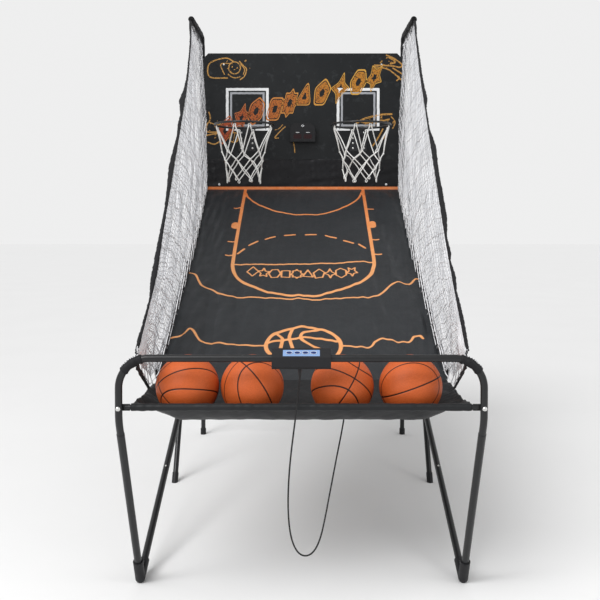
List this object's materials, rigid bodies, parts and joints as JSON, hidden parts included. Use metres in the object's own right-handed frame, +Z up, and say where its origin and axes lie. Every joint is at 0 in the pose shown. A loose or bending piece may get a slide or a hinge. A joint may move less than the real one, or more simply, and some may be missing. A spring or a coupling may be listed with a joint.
{
  "type": "basketball hoop machine",
  "caption": "Fold-up indoor basketball game: two hoops on a board over a sloping cloth court with side nets and a ball tray in a tube frame.",
  "frame": {"origin": "on the floor, at the middle of the bounding box of everything but the free cord", "axes": "+X to the player's right, +Y away from the player, +Z up"},
  "size_m": [1.1, 2.0754, 2.058],
  "materials": {
    "frame_tube": "satin black powder coat",
    "cap_plastic": "moulded black plastic",
    "zinc_steel": "bright zinc",
    "board_panel": "printed black panel",
    "skirt_vinyl": "soft black vinyl",
    "rim_steel": "black powder coat",
    "net_cord": "white braided cord",
    "net_mesh": "white knotted mesh",
    "case_plastic": "textured black plastic",
    "window_tint": "tinted clear plastic",
    "electronics": "circuit board",
    "cell": "sleeved dry cell",
    "court_fabric": "charcoal coated cloth with printed lines",
    "tray_fabric": "black coated cloth",
    "label_film": "pale blue film",
    "button_rubber": "navy rubber",
    "cord_jacket": "black PVC",
    "ball_rubber": "pebbled orange rubber"
  },
  "bodies": {
    "root": {"post_lower_left": "frame_tube", "post_lower_right": "frame_tube", "post_upper_left": "frame_tube", "post_upper_right": "frame_tube", "lower_rails": "frame_tube", "board_rails": "frame_tube", "stay_leg_left": "frame_tube", "stay_leg_right": "frame_tube", "leg_caps": "cap_plastic", "frame_fasteners": "zinc_steel", "rim_bolts": "zinc_steel", "backboard": "board_panel", "backboard_skirt": "skirt_vinyl", "rim_left": "rim_steel", "rim_right": "rim_steel", "rim_brackets": "rim_steel", "hoop_net_left": "net_cord", "hoop_net_right": "net_cord", "side_net_left": "net_mesh", "side_net_right": "net_mesh", "score_case_front": "case_plastic", "score_case_back": "case_plastic", "rim_sensors": "case_plastic", "score_windows": "window_tint", "score_electronics": "electronics", "batteries": "cell", "court_cloth": "court_fabric", "score_lead": "cord_jacket"},
    "front_section": {"front_hoop": "frame_tube", "front_leg_left": "frame_tube", "front_leg_right": "frame_tube", "foot_elbow_left": "cap_plastic", "foot_elbow_right": "cap_plastic", "arm_lower_left": "frame_tube", "arm_lower_right": "frame_tube", "arm_upper_left": "frame_tube", "arm_upper_right": "frame_tube", "tray_tube": "frame_tube", "front_bolts": "zinc_steel", "ball_trough": "tray_fabric", "control_case_upper": "case_plastic", "control_case_lower": "case_plastic", "keypad_plate": "label_film", "control_board": "electronics", "cord_relief": "cord_jacket", "control_cord": "cord_jacket", "cord_clip": "cap_plastic"},
    "knob_left": {"lock_knob_left": "cap_plastic"},
    "snap_left": {"snap_button_left": "zinc_steel"},
    "knob_right": {"lock_knob_right": "cap_plastic"},
    "snap_right": {"snap_button_right": "zinc_steel"},
    "key_1": {"button_1": "button_rubber"},
    "key_2": {"button_2": "button_rubber"},
    "key_3": {"button_3": "button_rubber"},
    "key_4": {"button_4": "button_rubber"},
    "door": {"battery_door": "case_plastic"},
    "ball_body_1": {"ball_1": "ball_rubber"},
    "ball_body_2": {"ball_2": "ball_rubber"},
    "ball_body_3": {"ball_3": "ball_rubber"},
    "ball_body_4": {"ball_4": "ball_rubber"}
  },
  "joints": [
    {"name": "frame_fold", "type": "hinge", "parent": "root", "child": "front_section", "pos_m": [0, 0.564, 0.547], "axis": [-1, 0, 0], "range_deg": [0, 90]},
    {"name": "knob_turn_left", "type": "hinge", "parent": "root", "child": "knob_left", "pos_m": [-0.475, 1.022, 0.73478], "axis": [1, 0, 0], "continuous": true},
    {"name": "snap_press_left", "type": "slide", "parent": "front_section", "child": "snap_left", "axis": [0, 0.3794, -0.9253], "range_m": [0, 0.0026], "stiffness_N_per_m": 1500, "springref_m": -0.001},
    {"name": "knob_turn_right", "type": "hinge", "parent": "root", "child": "knob_right", "pos_m": [0.475, 1.022, 0.73478], "axis": [1, 0, 0], "continuous": true},
    {"name": "snap_press_right", "type": "slide", "parent": "front_section", "child": "snap_right", "axis": [0, 0.3794, -0.9253], "range_m": [0, 0.0026], "stiffness_N_per_m": 1500, "springref_m": -0.001},
    {"name": "key_press_1", "type": "slide", "parent": "front_section", "child": "key_1", "axis": [0, 0.4472, -0.8944], "range_m": [0, 0.0009], "stiffness_N_per_m": 900, "springref_m": -0.0006},
    {"name": "key_press_2", "type": "slide", "parent": "front_section", "child": "key_2", "axis": [0, 0.4472, -0.8944], "range_m": [0, 0.0009], "stiffness_N_per_m": 900, "springref_m": -0.0006},
    {"name": "key_press_3", "type": "slide", "parent": "front_section", "child": "key_3", "axis": [0, 0.4472, -0.8944], "range_m": [0, 0.0009], "stiffness_N_per_m": 900, "springref_m": -0.0006},
    {"name": "key_press_4", "type": "slide", "parent": "front_section", "child": "key_4", "axis": [0, 0.4472, -0.8944], "range_m": [0, 0.0009], "stiffness_N_per_m": 900, "springref_m": -0.0006},
    {"name": "door_pull", "type": "slide", "parent": "root", "child": "door", "axis": [0, 0, -1], "range_m": [0, 0.03]},
    {"name": "ball_lift_1", "type": "slide", "parent": "front_section", "child": "ball_body_1", "axis": [0, 0, 1], "range_m": [0, 0.22]},
    {"name": "ball_lift_2", "type": "slide", "parent": "front_section", "child": "ball_body_2", "axis": [0, 0, 1], "range_m": [0, 0.22]},
    {"name": "ball_lift_3", "type": "slide", "parent": "front_section", "child": "ball_body_3", "axis": [0, 0, 1], "range_m": [0, 0.22]},
    {"name": "ball_lift_4", "type": "slide", "parent": "front_section", "child": "ball_body_4", "axis": [0, 0, 1], "range_m": [0, 0.22]}
  ]
}
